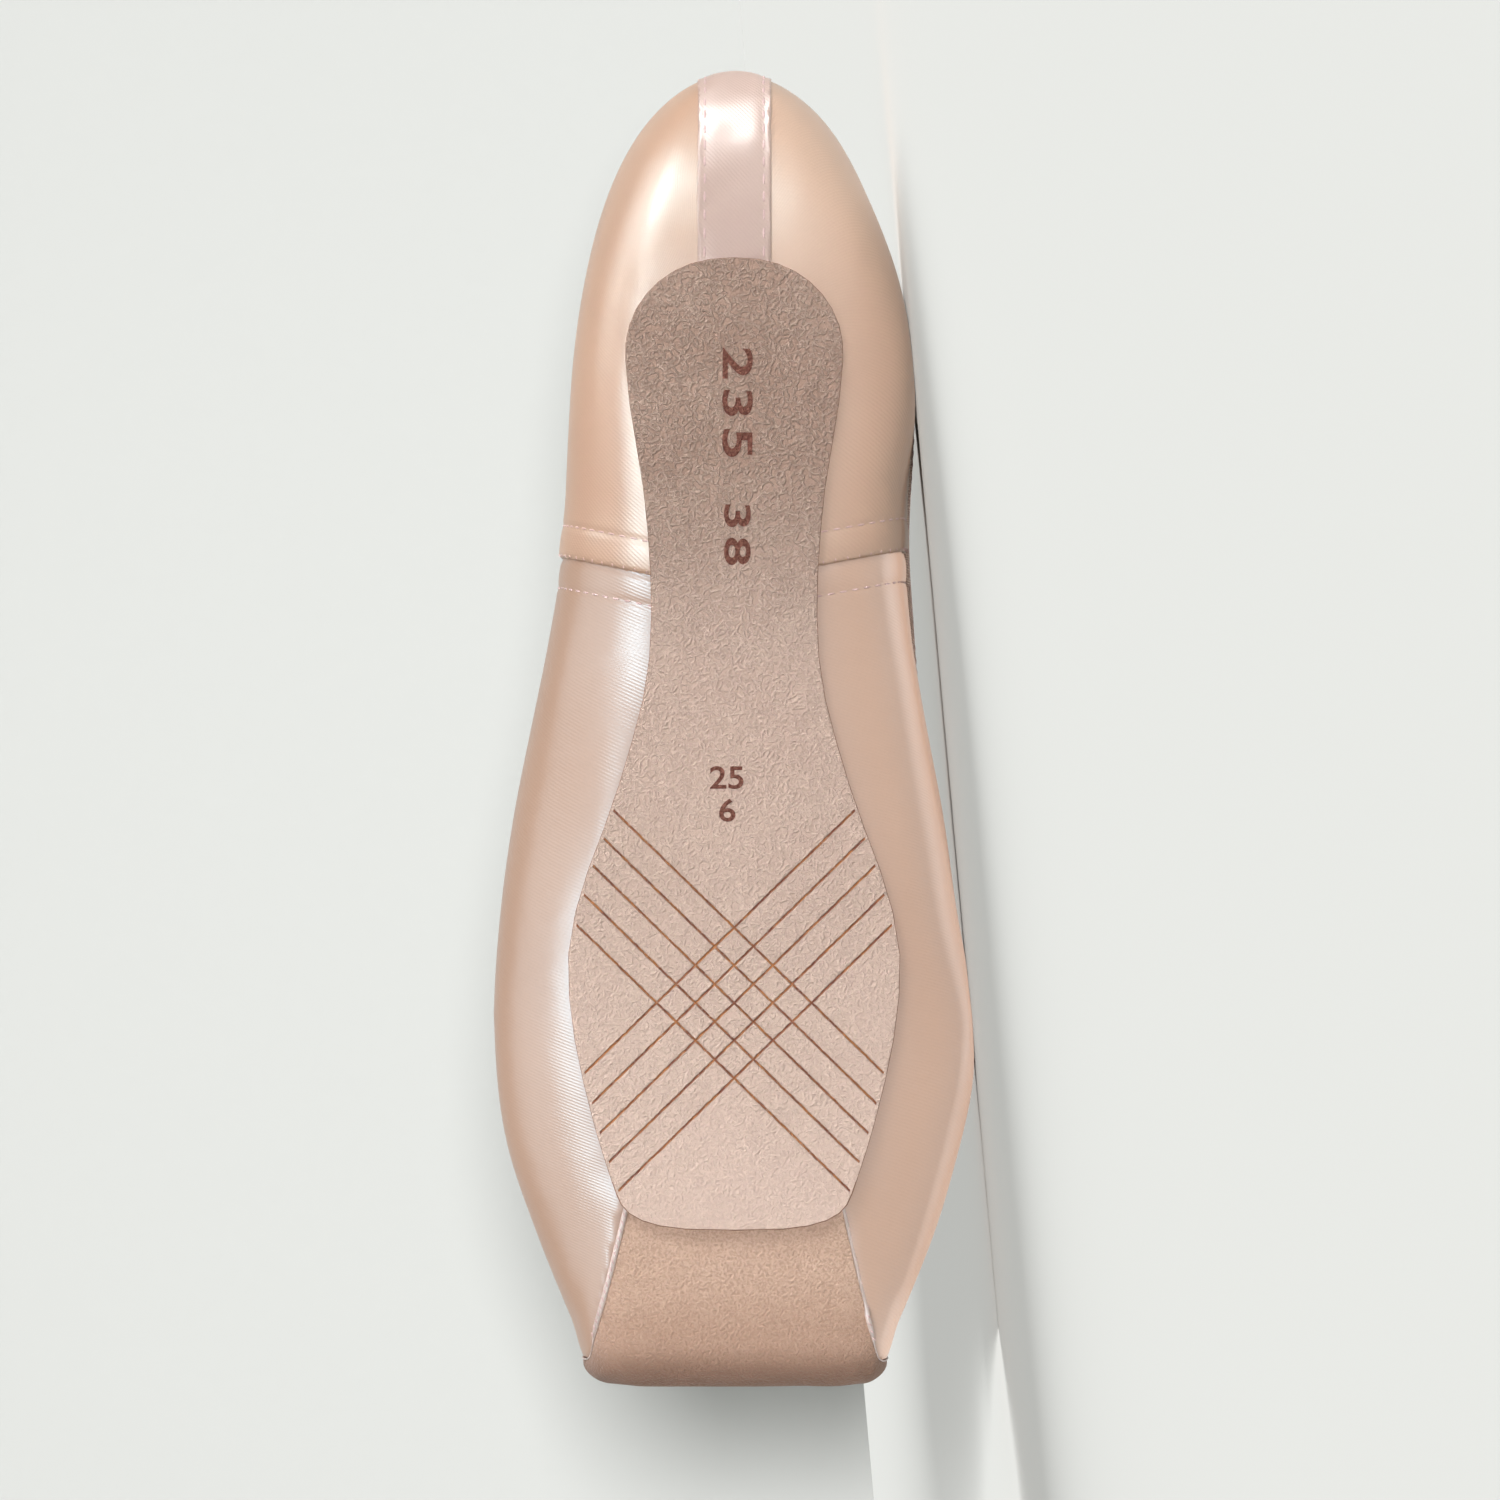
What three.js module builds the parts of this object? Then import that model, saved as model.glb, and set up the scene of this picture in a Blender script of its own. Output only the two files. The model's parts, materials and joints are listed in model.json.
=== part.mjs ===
// A pointe shoe lying on its right side: satin upper with a stiff box, suede toe patch, leather outsole,
// insole and collar binding, all worked out from the form of one straight last.
// Shoe frame, in millimetres: +X from heel to toe, +Y to the wearer's left, +Z up from the tread.
import * as THREE from "three";

// ---- Driving dimensions
const LENGTH = 245; // back of the heel to the face of the platform
const GAP = 0.3; // clearance between neighbouring pieces

const SOLE = { thickness: 2, heel: 36.9, toe: 215.5, heelRound: 19, toeRound: 7 };
const INSOLE = { thickness: 1.6, heel: 20, toe: 226, round: 18, spread: 0.5 };
const WALL = { quarter: 1.5, box: 2.8, start: 150, end: 205 }; // cloth quarters, pasted box
const UNDER_OPENING = { heel: 48, toe: 203, round: 14, margin: 5 }; // what the outsole closes
const PLATFORM = { edgeRadius: 5 };
const PATCH = { thickness: 0.9, heel: 211, topHeel: 233, topRound: 7 };
const BINDING = { height: 6.5, proud: 0.45, edgeRadius: 1.1 };
const THROAT = 178; // foremost point of the seam under the binding

// Lifts of the underside above the tread plane
const HEEL_SPRING = { end: 40, rise: 26 };
const ARCH = { start: 76, end: 148, rise: 3.2 };
const TOE_SPRING = { start: 185, rise: 6.5 };

// Where the right side touches the ground when the shoe lies down
const BALL_TOUCH = { x: 180, y: 44.3 };
const HEEL_TOUCH = { x: 55, y: 33.1 };
const SQUASH = { power: 1.2, start: 45 }; // fully squashed from `start` on

// ---- Tables along the last. The heel end of each width is closed by heelRound.
const HEEL_ROUND = 57;
const LAST = [
  { x: 0, left: 31, right: 32, flat: 15, widest: 35, crown: 92 },
  { x: 20, left: 29.8, right: 30.6, flat: 14.5, widest: 27, crown: 90 },
  { x: 40, left: 29.5, right: 32.6, flat: 15, widest: 21.5, crown: 87 },
  { x: 57, left: 30.4, right: 35, flat: 16, widest: 19, crown: 84 },
  { x: 75, left: 31.4, right: 32.6, flat: 13.8, widest: 20.5, crown: 80 },
  { x: 90, left: 32.1, right: 31.4, flat: 11.2, widest: 22.5, crown: 76 },
  { x: 105, left: 34.4, right: 32.9, flat: 10.4, widest: 23.5, crown: 71.5 },
  { x: 120, left: 37.4, right: 35.4, flat: 11, widest: 23, crown: 66.5 },
  { x: 140, left: 41.4, right: 39.2, flat: 17.2, widest: 20.5, crown: 59.5 },
  { x: 160, left: 44, right: 42, flat: 23.2, widest: 18.4, crown: 54.8 },
  { x: 180, left: 45, right: 46.3, flat: 23, widest: 17.8, crown: 51 },
  { x: 200, left: 43, right: 42.4, flat: 18, widest: 18.8, crown: 47 },
  { x: 215, left: 38, right: 38.2, flat: 17.6, widest: 19.8, crown: 43 },
  { x: 230, left: 32.3, right: 32.6, flat: 18.6, widest: 20, crown: 38 },
  { x: 245, left: 25.4, right: 25.6, flat: 19, widest: 20.5, crown: 33 },
];
// Height of the seam under the binding, from the back of the heel to the throat
const SEAM_LINE = [
  { x: 0, height: 45.5 },
  { x: 15, height: 40.5 },
  { x: 35, height: 35.5 },
  { x: 60, height: 32 },
  { x: 85, height: 30.8 },
  { x: 105, height: 32.2 },
  { x: 120, height: 34.5 },
  { x: 135, height: 38 },
  { x: 150, height: 42.6 },
  { x: 165, height: 47.4 },
  { x: 178, height: 51.4 },
];
// How far each side of the collar flares out at the seam
const FLARE = [
  { x: 0, left: 0, right: 0 },
  { x: 25, left: -0.1, right: 0.5 },
  { x: 55, left: -0.2, right: -0.1 },
  { x: 75, left: -0.2, right: 0.6 },
  { x: 100, left: -0.2, right: 0.7 },
  { x: 122, left: 0, right: 0 },
];
const SOLE_OUTLINE = [
  { x: 36.9, half: 19.2 },
  { x: 52, half: 20.1 },
  { x: 64, half: 19.2 },
  { x: 80, half: 16.6 },
  { x: 98, half: 15.3 },
  { x: 113, half: 15.9 },
  { x: 125, half: 18.6 },
  { x: 138, half: 22.6 },
  { x: 151, half: 27.4 },
  { x: 161, half: 30 },
  { x: 169, half: 30.5 },
  { x: 181, half: 29.2 },
  { x: 195, half: 26 },
  { x: 207, half: 22.3 },
  { x: 215.5, half: 19.2 },
];
const PATCH_OUTLINE = [
  { x: 211, half: 19.7 },
  { x: 226, half: 23.1 },
  { x: 234, half: 25 },
  { x: 240, half: 26 },
];

// ---- Curves
// A smooth curve through one column of a table.
function curveThrough(table, column) {
  return (x) => {
    let i = 0;
    while (i < table.length - 2 && x > table[i + 1].x) i++;
    const before = table[Math.max(i - 1, 0)];
    const from = table[i];
    const to = table[i + 1];
    const after = table[Math.min(i + 2, table.length - 1)];
    const span = to.x - from.x;
    const t = THREE.MathUtils.clamp((x - from.x) / span, 0, 1);
    const slopeIn = ((to[column] - before[column]) / (to.x - before.x)) * span;
    const slopeOut = ((after[column] - from[column]) / (after.x - from.x)) * span;
    const rise = to[column] - from[column];
    const bend = slopeIn + slopeOut - 2 * rise;
    return from[column] + t * (slopeIn + t * (3 * rise - 2 * slopeIn - slopeOut + t * bend));
  };
}

// 0 at the end of an outline, growing to 1 at a distance of `length` from it, along a rounded corner.
function endRound(distance, length, power) {
  if (distance >= length) return 1;
  const inner = 1 - Math.max(distance, 0) / length;
  return (1 - inner ** power) ** (1 / power);
}

const heelRound = (x) => endRound(x, HEEL_ROUND, 2);
const column = (name) => curveThrough(LAST, name);
const sideWidth = { left: column("left"), right: column("right") };
const flatWidth = column("flat");
const widestHeight = column("widest");
const crownHeight = column("crown");
const seamHeight = curveThrough(SEAM_LINE, "height");
const flare = { left: curveThrough(FLARE, "left"), right: curveThrough(FLARE, "right") };
const soleOutline = curveThrough(SOLE_OUTLINE, "half");
const patchOutline = curveThrough(PATCH_OUTLINE, "half");

// Height of the outsole's lower face
function treadHeight(x) {
  const heel = 1 - Math.sqrt(1 - Math.max(1 - x / HEEL_SPRING.end, 0) ** 2);
  const arch = THREE.MathUtils.clamp((x - ARCH.start) / (ARCH.end - ARCH.start), 0, 1);
  return HEEL_SPRING.rise * heel + ARCH.rise * Math.sin(Math.PI * arch) ** 2;
}

// Height of the upper's lower face, which curves up ahead of the ball, clear of the outsole's end
function undersideHeight(x) {
  const toe = Math.max((x - TOE_SPRING.start) / (LENGTH - TOE_SPRING.start), 0);
  return treadHeight(x) + SOLE.thickness + GAP + TOE_SPRING.rise * toe ** 2;
}

function soleHalf(x) {
  const heel = endRound(x - SOLE.heel, SOLE.heelRound, 2.3);
  const toe = endRound(SOLE.toe - x, SOLE.toeRound, 3.2);
  return soleOutline(x) * heel * toe;
}

// How square the turn from the underside to the widest line is: squashed on the side that is lain on
function turnPower(x, side) {
  return side === "left" ? 2 : 2 + SQUASH.power * THREE.MathUtils.smoothstep(x, 0, SQUASH.start);
}

function wallThickness(x) {
  return THREE.MathUtils.mapLinear(
    THREE.MathUtils.smoothstep(x, WALL.start, WALL.end), 0, 1, WALL.quarter, WALL.box,
  );
}

// ---- The last
// A place on the last is a station along it and a share of the way round one half of its section:
// 0 under the middle, FLAT_SHARE where the underside starts to turn up, WIDE_SHARE at the widest line
// and 1 at the middle of the crown. A station past the edge of the platform is inset or scaled down.
const FLAT_SHARE = 0.2;
const WIDE_SHARE = 0.55;
const CROWN_POWER = 2.3;
const SIDES = ["left", "right"];
const station = (x, inset = 0, scale = 1) => ({ x, inset, scale });

function section(x, side) {
  const round = heelRound(x);
  return {
    half: sideWidth[side](x) * round,
    flat: flatWidth(x) * round,
    bottom: undersideHeight(x),
    widest: widestHeight(x),
    crown: crownHeight(x),
  };
}

function onLast({ x, inset, scale }, side, share) {
  const s = section(x, side);
  let y;
  let z;
  if (share <= FLAT_SHARE) {
    y = (s.flat * share) / FLAT_SHARE;
    z = s.bottom;
  } else if (share <= WIDE_SHARE) {
    const turn = ((share - FLAT_SHARE) / (WIDE_SHARE - FLAT_SHARE)) * (Math.PI / 2);
    const power = 2 / turnPower(x, side);
    y = s.flat + (s.half - s.flat) * Math.sin(turn) ** power;
    z = s.widest - (s.widest - s.bottom) * Math.max(Math.cos(turn), 0) ** power;
  } else {
    const turn = ((share - WIDE_SHARE) / (1 - WIDE_SHARE)) * (Math.PI / 2);
    y = s.half * Math.max(Math.cos(turn), 0) ** (2 / CROWN_POWER);
    z = s.widest + (s.crown - s.widest) * Math.sin(turn) ** (2 / CROWN_POWER);
    const climb = (z - s.widest) / Math.max(seamHeight(x) - s.widest, 1);
    if (x < THROAT) y += flare[side](x) * heelRound(x) * Math.min(climb, 1.5) ** 2;
  }
  const middle = (s.bottom + s.crown) / 2;
  const tall = (s.crown - s.bottom) / 2;
  y *= (scale * (s.half - inset)) / Math.max(s.half, inset, 1e-6);
  z = middle + (z - middle) * scale * (1 - inset / tall);
  return onGround(new THREE.Vector3(x, side === "left" ? y : -y, z));
}

// The soft side lies flat where it meets the ground.
const lieSlope = (BALL_TOUCH.y - HEEL_TOUCH.y) / (BALL_TOUCH.x - HEEL_TOUCH.x);
function onGround(point) {
  point.y = Math.max(point.y, -(HEEL_TOUCH.y + (point.x - HEEL_TOUCH.x) * lieSlope));
  return point;
}

// The share at which the section reaches a height above its widest line.
function shareAtHeight(x, height) {
  const { widest, crown } = section(x, "left");
  const climb = THREE.MathUtils.clamp((height - widest) / (crown - widest), 0, 1);
  const turn = Math.asin(climb ** (CROWN_POWER / 2));
  return WIDE_SHARE + (1 - WIDE_SHARE) * (turn / (Math.PI / 2));
}

// The share at which the underside, or else the crown, reaches a distance from the middle.
function shareUnderAt(x, side, y) {
  const { half, flat } = section(x, side);
  if (y <= flat) return (FLAT_SHARE * y) / flat;
  const turn = Math.asin(Math.min((y - flat) / (half - flat), 1) ** (turnPower(x, side) / 2));
  return FLAT_SHARE + (WIDE_SHARE - FLAT_SHARE) * (turn / (Math.PI / 2));
}
function shareOverAt(x, side, y) {
  const turn = Math.acos(Math.min(y / section(x, side).half, 1) ** (CROWN_POWER / 2));
  return WIDE_SHARE + (1 - WIDE_SHARE) * (turn / (Math.PI / 2));
}

// ---- Surfaces and solids
// Triangles over points that are shared wherever two fall on the same place.
class Surface {
  points = [];
  triangles = [];
  found = new Map();

  point(p) {
    const key = [p.x, p.y, p.z].map((value) => Math.round(value * 2000)).join();
    if (!this.found.has(key)) this.found.set(key, this.points.push(p.clone()) - 1);
    return this.found.get(key);
  }

  triangle(a, b, c) {
    if (a !== b && b !== c && c !== a) this.triangles.push([a, b, c]);
  }

  // A grid of rows of points; `flip` turns its faces round.
  grid(rows, flip = false) {
    const index = rows.map((row) => row.map((p) => this.point(p)));
    for (let i = 0; i + 1 < index.length; i++) {
      for (let j = 0; j + 1 < index[i].length; j++) {
        const corners = [index[i][j], index[i + 1][j], index[i + 1][j + 1], index[i][j + 1]];
        if (flip) corners.reverse();
        this.triangle(corners[0], corners[1], corners[2]);
        this.triangle(corners[0], corners[2], corners[3]);
      }
    }
  }

  geometry() {
    const made = new THREE.BufferGeometry().setFromPoints(this.points);
    made.setIndex(this.triangles.flat());
    made.computeVertexNormals();
    return made;
  }

  normals() {
    const attribute = this.geometry().getAttribute("normal");
    return this.points.map((_, i) => new THREE.Vector3().fromBufferAttribute(attribute, i));
  }

  // Edges that only one triangle has, in the direction that it runs them.
  boundary() {
    const next = new Map();
    const edges = new Set(
      this.triangles.flatMap(([a, b, c]) => [`${a},${b}`, `${b},${c}`, `${c},${a}`]),
    );
    for (const edge of edges) {
      const [a, b] = edge.split(",").map(Number);
      if (!edges.has(`${b},${a}`)) next.set(a, b);
    }
    return next;
  }
}

// A closed solid between two offsets of a surface, given for each point as a distance along its normal.
function thicken(surface, outer, inner) {
  const normals = surface.normals();
  const count = surface.points.length;
  const shifted = (offset) =>
    surface.points.map((p, i) => p.clone().addScaledVector(normals[i], offset(p)));
  const triangles = [...surface.triangles];
  for (const [a, b, c] of surface.triangles) triangles.push([a + count, c + count, b + count]);
  for (const [a, b] of surface.boundary()) {
    triangles.push([b, a, a + count], [b, a + count, b + count]);
  }
  const solid = new THREE.BufferGeometry().setFromPoints([...shifted(outer), ...shifted(inner)]);
  return solid.setIndex(triangles.flat());
}

// ---- Stations
const steps = (count) => Array.from({ length: count + 1 }, (_, i) => i / count);
const spread = (from, to, count) => steps(count).map((t) => from + (to - from) * t);
const platformEdge = LENGTH - PLATFORM.edgeRadius;

// Crowded towards `from`, where an outline closes with a round end.
const crowded = (from, to, count) =>
  steps(count).map((t) => from + (to - from) * (1 - Math.cos((t * Math.PI) / 2)));
const ascending = (...lists) => {
  const rounded = lists.flat().map((x) => Math.round(x * 1000) / 1000);
  return [...new Set(rounded)].sort((a, b) => a - b);
};

const edgeStations = (count) =>
  steps(count).slice(1).map((t) => {
    const turn = (t * Math.PI) / 2;
    const inset = PLATFORM.edgeRadius * (1 - Math.cos(turn));
    return station(platformEdge + PLATFORM.edgeRadius * Math.sin(turn), inset);
  });
const faceStations = [0.5, 0].map((scale) => station(LENGTH, PLATFORM.edgeRadius, scale));

const upperStations = [
  ...ascending(
    crowded(0, HEEL_ROUND, 9),
    spread(HEEL_ROUND, 150, 12),
    [155, 160, 165, 169, 172.5, 175.5, 177.3, THROAT],
    spread(THROAT, PATCH.heel, 4),
    spread(PATCH.heel, platformEdge, 9),
  ).map((x) => station(x)),
  ...edgeStations(4),
  ...faceStations,
];

// ---- The pieces
function openingShare(x) {
  const heel = endRound(x - UNDER_OPENING.heel, UNDER_OPENING.round, 2);
  const toe = endRound(UNDER_OPENING.toe - x, UNDER_OPENING.round, 2);
  const inside = x > UNDER_OPENING.heel && x < UNDER_OPENING.toe;
  const half = inside ? (flatWidth(x) - UNDER_OPENING.margin) * heel * toe : 0;
  return (FLAT_SHARE * half) / flatWidth(x);
}

const seamShare = (x) => (x < THROAT ? shareAtHeight(x, seamHeight(x)) : 1);

function upperSurface() {
  const surface = new Surface();
  for (const side of SIDES) {
    const rows = upperStations.map((at) => {
      const shares = ascending(
        spread(openingShare(at.x), FLAT_SHARE, 2),
        spread(FLAT_SHARE, WIDE_SHARE, 6),
        spread(WIDE_SHARE, seamShare(at.x), 7),
      );
      return shares.map((share) => onLast(at, side, share));
    });
    surface.grid(rows, side === "left");
  }
  return surface;
}

// The rim of the collar as a closed loop of points, each with its surface normal.
function collarRim(surface) {
  const next = surface.boundary();
  const normals = surface.normals();
  let start = [...next.keys()][0];
  for (const a of next.keys()) if (surface.points[a].z > surface.points[start].z) start = a;
  const rim = [];
  for (let a = start; rim.length === 0 || a !== start; a = next.get(a)) {
    rim.push({ point: surface.points[a], normal: normals[a] });
  }
  return rim;
}

// A folded tape standing on the rim, as a loop of one rounded section.
function bindingSolid(surface) {
  const rim = collarRim(surface);
  const { height, proud, edgeRadius } = BINDING;
  const inner = -(WALL.quarter + proud);
  const profile = [[inner, GAP], [proud, GAP], [proud, height / 2]];
  const fall = (turn) => height - edgeRadius * (1 - Math.sin(turn));
  for (const turn of spread(0, Math.PI / 2, 2)) {
    profile.push([proud - edgeRadius * (1 - Math.cos(turn)), fall(turn)]);
  }
  for (const turn of spread(Math.PI / 2, 0, 2)) {
    profile.push([inner + edgeRadius * (1 - Math.cos(turn)), fall(turn)]);
  }
  profile.push([inner, height / 2]);
  const solid = new Surface();
  const rings = rim.map(({ point, normal }, i) => {
    const before = rim.at(i - 1).point;
    const after = rim[(i + 1) % rim.length].point;
    const along = after.clone().sub(before).normalize();
    const up = along.clone().cross(normal).normalize();
    const out = up.clone().cross(along).normalize();
    const place = (n, u) => point.clone().addScaledVector(out, n).addScaledVector(up, u);
    return profile.map(([n, u]) => onGround(place(n, u)));
  });
  const closed = [...rings, rings[0]].map((ring) => [...ring, ring[0]]);
  solid.grid(closed, true);
  return solid.geometry();
}

// A flat-edged sheet of leather or card between two ends, lying on a line along the shoe.
function sheetSolid(stations, halfAt, bottomAt, thickness) {
  const solid = new Surface();
  const rows = stations.map((x) => {
    const half = halfAt(x);
    const low = bottomAt(x);
    const high = low + thickness;
    const outline = [[-half, low], [half, low], [half, high], [-half, high], [-half, low]];
    return outline.map(([y, z]) => new THREE.Vector3(x, y, z));
  });
  solid.grid(rows, true);
  return solid.geometry();
}

function outsoleSolid() {
  const stations = ascending(
    crowded(SOLE.heel, SOLE.heel + SOLE.heelRound, 9),
    spread(SOLE.heel + SOLE.heelRound, 196, 18),
    crowded(SOLE.toe, 196, 11),
  );
  return sheetSolid(stations, soleHalf, treadHeight, SOLE.thickness);
}

function insoleSolid() {
  const { heel, toe, round, spread: wider, thickness } = INSOLE;
  const rounding = (x) => endRound(x - heel, round, 2.2) * endRound(toe - x, round, 2.6);
  const halfAt = (x) => (flatWidth(x) * heelRound(x) + wider) * rounding(x);
  const bottomAt = (x) => undersideHeight(x) + wallThickness(x) + GAP;
  const stations = ascending(
    crowded(heel, heel + round, 7),
    spread(heel + round, toe - round, 16),
    crowded(toe, toe - round, 7),
  );
  return sheetSolid(stations, halfAt, bottomAt, thickness);
}

// Suede over the platform, with a tongue back under the outsole and a short flap over the crown.
function toePatchSolid() {
  const surface = new Surface();
  const ring = station(platformEdge);
  const topStart = 21;
  for (const side of SIDES) {
    const underEdge = (x) => shareUnderAt(x, side, patchOutline(x));
    const topHalf = (x) => topStart * endRound(x - PATCH.topHeel, PATCH.topRound, 2.4);
    const topEdge = (x) => shareOverAt(x, side, topHalf(x));
    const sweep = (stations, sharesAt) => {
      const rows = stations.map((at) => sharesAt(at.x).map((share) => onLast(at, side, share)));
      surface.grid(rows, side === "left");
    };
    const under = (x) => [...spread(0, FLAT_SHARE, 2), ...spread(FLAT_SHARE, underEdge(x), 5).slice(1)];
    const over = (x) => spread(topEdge(x), 1, 3);
    const ringShares = [
      ...under(ring.x),
      ...spread(underEdge(ring.x), WIDE_SHARE, 2).slice(1),
      ...spread(WIDE_SHARE, topEdge(ring.x), 3).slice(1),
      ...over(ring.x).slice(1),
    ];
    sweep(spread(PATCH.heel, platformEdge, 9).map((x) => station(x)), under);
    sweep(crowded(PATCH.topHeel, platformEdge, 4).map((x) => station(x)), over);
    sweep([ring, ...edgeStations(4), ...faceStations], () => ringShares);
  }
  return thicken(surface, () => GAP + PATCH.thickness, () => GAP);
}

// ---- Assembly
const finish = (color, roughness) => new THREE.MeshStandardMaterial({ color, roughness, metalness: 0 });
const satin = finish(0xe3bfa3, 0.35);
const tape = finish(0xdcb6a4, 0.6);
const suede = finish(0xd6b091, 0.95);
const leather = finish(0xc9ab9a, 0.9);
const lining = finish(0xe6d8c6, 0.85);

const upperSkin = upperSurface();
const upperSolid = thicken(upperSkin, () => 0, (p) => -wallThickness(p.x));

const shoe = new THREE.Group();
const pieces = [
  ["upper", upperSolid, satin],
  ["collar_binding", bindingSolid(upperSkin), tape],
  ["outsole", outsoleSolid(), leather],
  ["insole", insoleSolid(), lining],
  ["toe_patch", toePatchSolid(), suede],
];
for (const [name, geometry, material] of pieces) {
  const mesh = new THREE.Mesh(geometry, material);
  mesh.name = name;
  shoe.add(mesh);
}

// The shoe is turned until its ball and heel are level, then laid down on its right side: its tread
// faces -Y and its toe points along -X. The origin is on the ground under the middle of its box.
shoe.rotation.z = Math.atan(lieSlope);
const lying = new THREE.Group();
lying.add(shoe);
lying.quaternion.setFromAxisAngle(new THREE.Vector3(0, 1, 1).normalize(), Math.PI);
const box = new THREE.Box3().setFromObject(lying, true);
const middle = box.getCenter(new THREE.Vector3());
lying.position.set(-middle.x, -middle.y, -box.min.z);

export default lying;
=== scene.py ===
"""A satin pointe shoe lying on its right side, seen from straight below its sole.

Every piece is modelled in the shoe's own frame: +X from the heel to the toe, +Y to the wearer's left
and +Z up from the tread, all in metres. LYING carries it to where the shoe lies.
"""

import json
import math

import bpy
import numpy as np
from mathutils import Matrix, Vector
from mathutils.bvhtree import BVHTree
from mathutils.kdtree import KDTree


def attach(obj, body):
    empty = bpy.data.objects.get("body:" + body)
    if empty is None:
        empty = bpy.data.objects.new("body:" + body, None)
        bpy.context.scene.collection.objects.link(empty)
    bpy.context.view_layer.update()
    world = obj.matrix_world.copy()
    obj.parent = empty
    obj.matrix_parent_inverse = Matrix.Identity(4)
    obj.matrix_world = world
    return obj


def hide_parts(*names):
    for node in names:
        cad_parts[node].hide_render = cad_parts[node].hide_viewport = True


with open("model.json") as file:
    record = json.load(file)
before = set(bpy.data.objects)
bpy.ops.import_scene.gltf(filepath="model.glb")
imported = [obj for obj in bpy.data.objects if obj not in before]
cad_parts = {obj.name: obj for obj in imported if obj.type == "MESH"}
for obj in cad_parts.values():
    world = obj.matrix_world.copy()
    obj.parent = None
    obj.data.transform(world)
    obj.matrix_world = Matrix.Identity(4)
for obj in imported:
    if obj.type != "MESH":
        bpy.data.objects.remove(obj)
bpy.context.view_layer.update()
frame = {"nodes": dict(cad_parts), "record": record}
MM = 0.001

# ---- The shoe's frame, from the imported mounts
mounts = {mount["name"]: mount for mount in frame["record"]["mounts"]}
FORWARD = Vector(mounts["platform"]["axis"]).normalized()
UP = -Vector(mounts["forefoot_tread"]["axis"])
LEFT = UP.cross(FORWARD)
TREAD_X = 175 * MM  # the forefoot mount's distance from the back of the heel
HEEL = Vector(mounts["forefoot_tread"]["pos_m"]) - TREAD_X * FORWARD
LYING = Matrix((FORWARD, LEFT, UP)).transposed().to_4x4()
LYING.translation = HEEL

# ---- Camera and stage
VIEW_FROM = Vector((127.3, -2.9, -1200)) * MM
camera = bpy.data.objects.new("camera", bpy.data.cameras.new("camera"))
camera.data.lens = 157
camera.data.sensor_width = 36
camera.matrix_world = Matrix((-LEFT, -FORWARD, -UP)).transposed().to_4x4()
camera.location = LYING @ VIEW_FROM
scene = bpy.context.scene
scene.collection.objects.link(camera)
scene.camera = camera
scene.view_settings.view_transform = "Standard"

# ---- Main sizes, in millimetres
LENGTH = 245
SOLE_HEEL, SOLE_TOE = 36.9, 215.5
HEEL_CURVE = 57  # the heel's outline is round up to here
WIDEST_LINE = 20  # height of the upper's widest line above the tread
TAPE_HALF = 6.7
TAPE_STITCH = 5.45
PLATFORM_EDGE = 240
# Each side seam folds along x = at - slope * |y|
SEAMS = {1: {"at": 98.5, "slope": 0.217}, -1: {"at": 96.3, "slope": 0.1875}}
QUARTER_STITCH, VAMP_STITCH = -6.0, 5.5  # stitch rows, measured from the fold towards the toe
SCORING = {"centre": 173.7, "angle": 45.8, "spacing": 4.95, "lines": 5, "width": 0.4}


# ---- Working on a piece
def only(piece):
    bpy.ops.object.select_all(action="DESELECT")
    piece.select_set(True)
    bpy.context.view_layer.objects.active = piece


def edit(piece, faces=None):
    """Edit mode with the given faces selected, or all of them."""
    only(piece)
    scene.tool_settings.mesh_select_mode = (False, False, True)
    mesh = piece.data
    chosen = np.ones(len(mesh.polygons), bool) if faces is None else faces
    mesh.vertices.foreach_set("select", np.zeros(len(mesh.vertices), bool))
    mesh.edges.foreach_set("select", np.zeros(len(mesh.edges), bool))
    mesh.polygons.foreach_set("select", chosen)
    bpy.ops.object.mode_set(mode="EDIT")
    if faces is None:
        bpy.ops.mesh.select_all(action="SELECT")


def done():
    bpy.ops.object.mode_set(mode="OBJECT")


def points_of(piece):
    """The vertices, in millimetres."""
    points = np.zeros(len(piece.data.vertices) * 3)
    piece.data.vertices.foreach_get("co", points)
    return points.reshape(-1, 3) / MM


def normals_of(piece):
    normals = np.zeros(len(piece.data.vertices) * 3)
    piece.data.vertices.foreach_get("normal", normals)
    return normals.reshape(-1, 3)


def put_points(piece, points):
    piece.data.vertices.foreach_set("co", (points * MM).ravel())
    piece.data.update()


def face_centres(piece):
    centres = np.zeros(len(piece.data.polygons) * 3)
    piece.data.polygons.foreach_get("center", centres)
    return centres.reshape(-1, 3) / MM


def face_normals(piece):
    normals = np.zeros(len(piece.data.polygons) * 3)
    piece.data.polygons.foreach_get("normal", normals)
    return normals.reshape(-1, 3)


def mould(piece, push):
    """Moves the surface along its normals by push(points), in millimetres."""
    points = points_of(piece)
    put_points(piece, points + normals_of(piece) * push(points)[:, None])


def keep(piece, faces):
    edit(piece, ~faces)
    bpy.ops.mesh.delete(type="FACE")
    done()


def cut(piece, at, across, faces=None):
    """Cuts the faces along a plane through a point in millimetres."""
    edit(piece, faces)
    bpy.ops.mesh.bisect(plane_co=Vector(at) * MM, plane_no=Vector(across).normalized())
    done()


def refine(piece, faces, cuts):
    edit(piece, faces)
    bpy.ops.mesh.subdivide(number_cuts=cuts, smoothness=1)
    done()


def apply(piece, kind, **settings):
    modifier = piece.modifiers.new(kind.lower(), kind)
    for name, value in settings.items():
        setattr(modifier, name, value)
    only(piece)
    bpy.ops.object.modifier_apply(modifier=modifier.name)


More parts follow.
